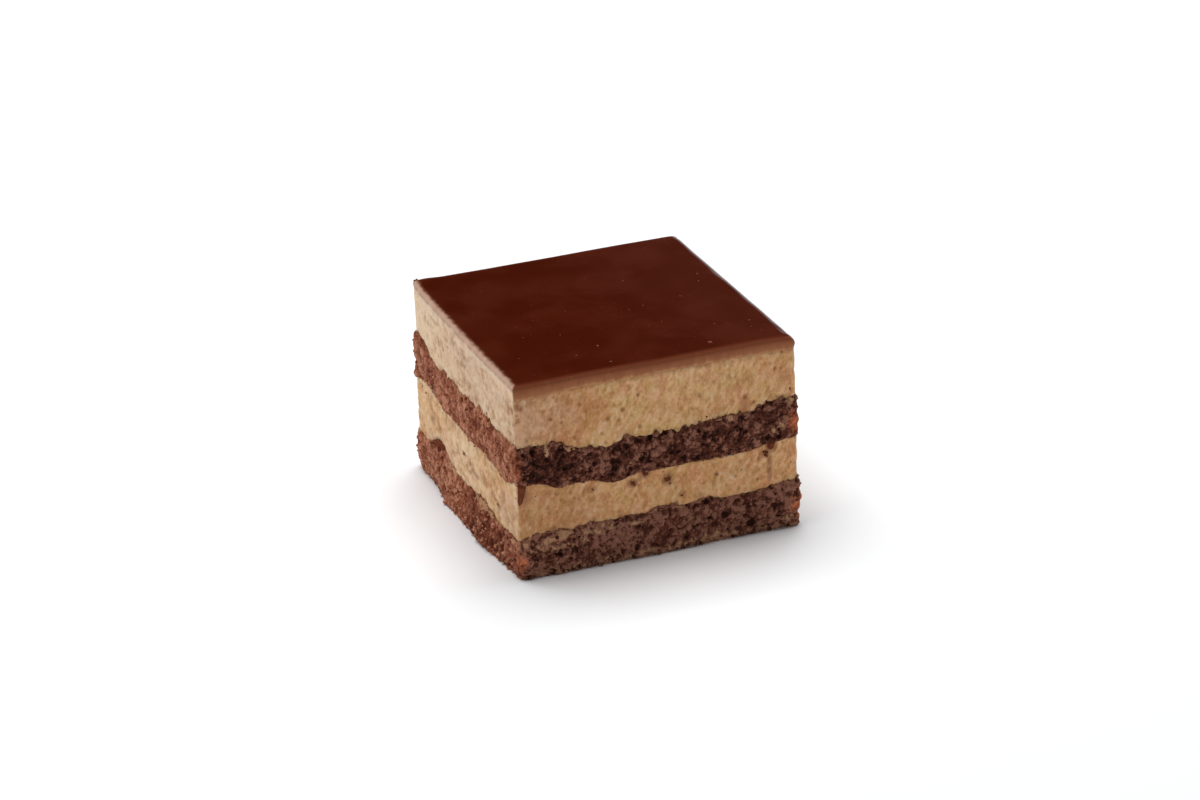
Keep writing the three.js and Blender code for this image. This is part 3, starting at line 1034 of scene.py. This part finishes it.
def bites(rng, count, widths, heights):
    """How far the crumb reaches past the line in round bites, about as often above its mean as below."""
    field = np.zeros(COLUMNS)
    for _ in range(count):
        gap = gap_around(AROUND_AT, rng.uniform(0, AROUND)) / (rng.uniform(*widths) / 2)
        field = np.maximum(field, rng.uniform(*heights) * np.sqrt(np.clip(1 - gap**2, 0, 1)))
    return field - field.mean()


# Marks where the photograph shows them, as (place, height, width, tall, strength)


def on_left(*marks):
    """Marks with their places counted from the back left corner."""
    return tuple((LEFT + place, *rest) for place, *rest in marks)


# Painted rim light on the crumb at the corners
RIM_LIGHTS = (
    (RIGHT - 0.9, 23, 5, 9, 1.1), (RIGHT - 0.6, 4.6, 6.4, 10, 0.8), (0.2, 3.8, 5, 7, 0.9),
    (0.2, 23.2, 3.6, 10, 0.65), *on_left((56, 3.4, 9, 6, 0.5)),
)
BASE_MARKS = {
    "mean_tone": 0.85,
    "mousse_below": False,
    # Painted shadow in the arch under the mousse's lip on the left; elsewhere darker patches, and darker along
    # the base's top
    "darks_and_shades": (
        *on_left(
            (10, 4, 40, 24, 0.16), (42, 3, 36, 24, 0.5), (10, 10.4, 6.5, 1.7, 1.1),
            (15, 11.2, 7.5, 1.8, 1.1),
        ),
        (3, 5.8, 3.6, 4.6, 0.45), (7.2, 4.2, 3.8, 4.8, 0.4), (13.5, 2.8, 5, 3, 0.2), (2, 9, 2.8, 1.1, 0.5),
        (6.9, 9.2, 1.9, 1.7, 0.4), (5, 8.5, 2.6, 0.8, 0.4), (24, 8.9, 8.5, 1.3, 0.5),
        (30.5, 9.1, 4.2, 1.6, 0.4), (41, 9.4, 5.2, 1.6, 0.35), (49, 8.6, 6.5, 1.4, 0.35),
        (48.5, 2.5, 2.6, 2.2, 0.3), (49, 6.2, 14, 4.6, 0.2),
    ),
    # patches of painted shade, where the left face's painted light is weaker
    "shaded_patches": on_left((46, 3, 34, 24, 0.8)),
    # the same arch of painted shadow, browner
    "browns_and_shades": on_left((10, 10.4, 6.5, 1.9, 0.55), (15, 11.2, 7.5, 2, 0.55)),
    "rim_lights": RIM_LIGHTS,
    "films": (
        (29, 0.4, 66, 3.2, 0.6), (6.4, 7.4, 4.6, 1.3, 1.1), (1.3, 7.3, 1.3, 1.3, 1.1),
        (9.6, 8.2, 4.2, 2, 1), (14, 7.6, 9, 3, 0.5), (24, 7.6, 2.6, 0.9, 1), (9, 6.4, 18, 4.4, 0.46),
        (18.5, 7.8, 6, 2.4, 0.5), (38.8, 2, 1, 1, 1), (21, 1.6, 1.8, 1.8, 0.8), (33, 1.5, 1.2, 1.2, 0.8),
        (35, 1, 1, 1, 0.8), (41.2, 1.6, 1.4, 2, 0.7), (57, 1.8, 3, 2, 0.7),
        *on_left((22, 8.6, 7, 1.6, 0.8), (40, 8.2, 16, 2.2, 0.8), (55, 7.4, 7, 1.6, 0.9)),
    ),
}
UPPER_SPONGE_MARKS = {
    "mean_tone": 0.61,
    "mousse_below": True,
    # Painted shade along the top of the left face, under the mousse; elsewhere darker patches
    "darks_and_shades": (
        (6.6, 23, 12, 9, 0.34),
        *on_left(
            (7, 29.4, 8, 2.2, 0.35), (11, 23.5, 5, 5, 0.3), (35.5, 26.5, 3, 2.4, 0.35),
            (49.5, 26.2, 2.6, 1.8, 0.3), (43, 28, 2.4, 1.4, 0.35), (24.5, 25, 3, 1.8, 0.25),
            (37, 24.6, 4, 1.6, 0.2),
        ),
    ),
    "shaded_patches": (),
    # painted shade along the top of the left face, browner, and a brown patch at the front left corner
    "browns_and_shades": (*on_left((6, 29.6, 9, 2.4, 0.5), (21, 28.2, 3, 1.8, 0.4)), (0, 25.5, 2.4, 6, 0.4)),
    "rim_lights": RIM_LIGHTS,
    "films": (
        (6.2, 27, 1, 3.4, 1.1), (11.2, 26.2, 2.4, 1.3, 1.1), (44.6, 25.9, 1, 2.2, 0.9),
        (50.4, 21, 0.8, 2.4, 0.7), (55.2, 22.6, 1.8, 1, 0.8), (57.6, 27.6, 3.2, 1.6, 0.8),
        (53.6, 21.5, 0.9, 2.6, 0.6),
    ),
}
LOWER_MOUSSE_MARKS = {
    "glazed": False,
    "ripeness": 0.17,
    "ripe": ((29, 10, 60, 4, 0.3), (29, 18.4, 60, 4, 0.25)),
    "pores": (
        (6.2, 14.6, 1.1, 1.2, 0.5), (9, 15.7, 0.9, 0.9, 0.6),
        *on_left(
            (29, 14.8, 1.8, 1.1, 1), (35, 12.6, 2.2, 1.5, 0.8), (47, 11.2, 1.8, 1.8, 0.9),
            (9, 14.4, 2.2, 1.5, 0.7), (7, 17.6, 2, 1.5, 0.6), (22, 12.2, 1.5, 1, 0.7),
            (40.5, 18.6, 1.2, 1, 0.6), (53, 12.6, 1.2, 1.6, 0.5),
        ),
    ),
    "smears": (
        (4, 12.5, 30, 16, 0.3), (15.2, 16.6, 3, 1.9, 0.6), (23.8, 16.2, 2.6, 2.2, 0.75),
        (26.5, 17.6, 2.8, 2.2, 0.7), (31.2, 15.4, 2.6, 3.2, 0.6), (41.5, 14.6, 1.3, 1.3, 0.6),
        (51.8, 16.9, 2.8, 2, 0.7), (34.2, 11.7, 1.8, 2, 0.5), (52.8, 14.6, 1.3, 9, 0.6),
        (37.8, 10.8, 2.6, 1.8, 0.4), (4.5, 10.4, 9, 2.6, 0.3), (13.8, 11.2, 1.6, 3.4, 0.45),
        (53.2, 18.6, 2.8, 4.2, 0.9), (1, 18, 3.4, 6.5, 0.7), (9.2, 15.7, 1.2, 1.2, 0.4),
        (7, 9.9, 2.2, 1.6, 0.6),
        *on_left(
            (35, 12.8, 5, 1.8, 0.65), (40, 13.4, 6, 2.4, 0.3), (45, 12.2, 3.4, 1.8, 0.55),
            (48, 11, 2.8, 2.2, 0.8), (10.5, 14.4, 3.6, 1.8, 0.5), (9.5, 16.8, 2.2, 1.4, 0.4),
            (22.6, 11.9, 2.2, 1.2, 0.45), (29, 14.8, 2.8, 1.3, 0.75), (45, 18.2, 4, 1.4, 0.35),
            (15, 14, 5, 1.6, 0.3),
        ),
    ),
    # Painted haze and painted sheen on the left face, with a painted highlight down the front left corner
    "painted_hazes": on_left((50, 11.5, 16, 7, 0.25), (12, 10.5, 20, 4, 0.3)),
    "painted_sheens": on_left(
        (57.6, 14, 2.4, 14, 0.6), (30, 14, 70, 16, 0.1), (28, 14, 26, 16, 0.4), (26, 10.5, 16, 4, 0.3),
        (52, 9.6, 14, 4, 0.3), (9, 20, 16, 3, 0.25),
    ),
}
UPPER_MOUSSE_MARKS = {
    "glazed": True,
    "ripeness": 0,
    "ripe": ((4, 34, 34, 22, 0.4), (48, 27.8, 5, 4, 0.35), (7.6, 34.2, 8, 5, 0.4), (52, 36, 14, 5, 0.15)),
    "pores": (
        (0.9, 33.8, 1.2, 1.2, 0.4), (38.4, 31.8, 1, 1.1, 0.8), (22.3, 32.1, 1.2, 1.2, 0.9),
        (19.2, 30.8, 1.1, 1.2, 0.9), (21.5, 30.1, 1, 1.1, 0.8), (12.3, 28.2, 1, 1.2, 0.9),
        (17.8, 28, 1, 1.1, 0.6), (25.8, 27.8, 1, 1.2, 0.9), (14.8, 33.2, 0.9, 1.1, 0.5),
        *on_left(
            (43, 29.2, 1.9, 1.2, 1), (37, 29.6, 1.8, 1.2, 0.8), (44.8, 31, 1.5, 1.1, 0.8),
            (20.5, 28.9, 1.5, 1.4, 0.8), (29, 36.5, 1.5, 0.9, 0.5), (50, 32, 1.5, 1.2, 0.5),
            (31, 31.6, 1.4, 1, 0.5),
        ),
    ),
    "smears": (
        (7.6, 34.2, 6.4, 4.4, 0.3), (0.9, 37, 2.8, 3.2, 0.75), (2.6, 36.6, 7, 6, 0.12),
        (6, 33, 26, 18, 0.22), (47.9, 28.2, 2.8, 4.6, 0.45), (47.9, 29.8, 1.3, 1.6, 0.85),
        (11.2, 35.8, 1.5, 1.5, 0.3), (53, 37.8, 12, 2, 0.16), (42, 27.2, 4, 1.4, 0.35),
        (6, 37.4, 16, 2, 0.2),
        *on_left((44, 30.6, 3, 1.4, 0.5), (38, 30.4, 3, 1, 0.3)),
    ),
    # Painted haze and painted sheen on the left face, with a painted highlight down the front left corner
    "painted_hazes": on_left(
        (31, 36.4, 30, 6, 0.7), (38, 34, 56, 22, 0.45), (50, 36, 20, 6, 0.6), (50, 30, 20, 5, 0.5),
    ),
    "painted_sheens": on_left(
        (57.6, 31, 2.6, 10, 0.9), (8, 34, 30, 20, 0.72), (32, 33.5, 80, 22, 0.42), (30, 30, 40, 3, 0.35),
        (50, 30, 20, 3, 0.3),
    ),
}

# Crumbs that show on the mousse, as (place, height, width)
LOWER_MOUSSE_CRUMBS = (
    (15.5, 16.5, 0.9), (23.8, 16.2, 1.3), (26.5, 17.6, 1.2), (31.2, 15.6, 1.6), (31.6, 14.6, 0.8),
    (41.5, 14.6, 0.6), (52, 16.9, 1.3), (34.2, 11.6, 0.7), *on_left((29, 14.8, 0.8), (47, 11.3, 0.9)),
)
UPPER_MOUSSE_CRUMBS = ((57.5, 29.8, 0.7), (39.6, 27.2, 0.8), *on_left((43, 29.2, 0.7)))

# Tongues of crumb, each from its upper end down
LOWER_MOUSSE_DRIPS = (
    ((1.2, 21.2, 1.9), (1, 19.6, 1.7), (0.8, 18.2, 1.4), (0.5, 17, 1.4), (0.4, 15.9, 1.1)),
    ((13.5, 19.6, 1.4), (13.6, 18.3, 0.9)),
    ((26.4, 18.9, 1.5), (26.6, 17.2, 1.1)),
    ((53.2, 20.2, 2), (53.2, 18.8, 1.6), (53.1, 17.6, 1.1)),
)

# Specks that show on the glaze, as (from the left edge, from the front edge, size)
GLAZE_SPECKS = (
    (0.8, 58.5, 0.34), (1.3, 58.7, 0.26), (42.4, 3.7, 0.5), (22, 11.6, 0.24), (21.4, 3.3, 0.3),
    (16.6, 9, 0.2), (46.2, 27.8, 0.24), (46.6, 11.6, 0.22), (53.7, 10.8, 0.24), (53.9, 37.4, 0.28),
    (52.6, 33.7, 0.22), (37.6, 26.6, 0.24), (34.3, 25.8, 0.18), (38.9, 40.3, 0.2), (17.4, 19.9, 0.16),
    (10.3, 21.6, 0.16), (37.8, 17.4, 0.2), (34.9, 16.6, 0.16),
)


# Putting the cake together

rng = np.random.default_rng(7)
upper_mousse_rng = np.random.default_rng(12)

base = Layer("base_sponge")
lower = Layer("lower_mousse")
upper = Layer("upper_sponge")
creamy = Layer("upper_mousse")
glaze = Layer("glaze", GLAZE_PLACES, GLAZE_AWAY)

ground = np.zeros(COLUMNS)
base_top = shared_line(base, lower, 0.26, 31) + bites(rng, 60, (0.8, 2.4), (0.1, 0.5))
sponge_foot = shared_line(lower, upper, 0.13, 35)
sponge_top = shared_line(upper, creamy, 0.26, 38) + bites(rng, 110, (0.7, 1.7), (0.2, 0.7))
glaze_foot = shared_line(creamy, glaze, 0.1, 41)

mousse = mousse_material()
sponge = sponge_material()
sponge_layer("base_crumb", base, ground, base_top, sponge, BASE_MARKS)
mousse_layer("lower_mousse_cut", lower, base_top, sponge_foot, mousse, rng, LOWER_MOUSSE_MARKS)
sponge_layer("upper_crumb", upper, sponge_foot, sponge_top, sponge, UPPER_SPONGE_MARKS)
mousse_layer("upper_mousse_cut", creamy, sponge_top, glaze_foot, mousse, upper_mousse_rng, UPPER_MOUSSE_MARKS)
glossy = glaze_material("glaze", (0.1, 0.15), (1.2, 0.02, 0.4), IOR=1.45, Specular_IOR_Level=0.2)
matt = glaze_material("glaze_cut", (0.55, 0.7), (0.5, 0.05, 0.5), IOR=1.4, Specular_IOR_Level=0.08)
glaze_piece(glaze, glaze_foot, creamy.grid[-1, :, :2], glossy, matt)
sponge_crumbs("base_crumbs", base, rng, 1100, (0.14, 0.5), 1.7, sponge)
sponge_crumbs("upper_crumbs", upper, rng, 650, (0.14, 0.42), 1.0, sponge)
mousse_crumbs("lower_mousse_crumbs", lower, rng, LOWER_MOUSSE_CRUMBS, 24, sponge)
mousse_crumbs("upper_mousse_crumbs", creamy, rng, UPPER_MOUSSE_CRUMBS, 0, sponge)
mousse_drips("lower_mousse_drips", lower, LOWER_MOUSSE_DRIPS, sponge)
glaze_bubbles(rng, GLAZE_SPECKS, 60)
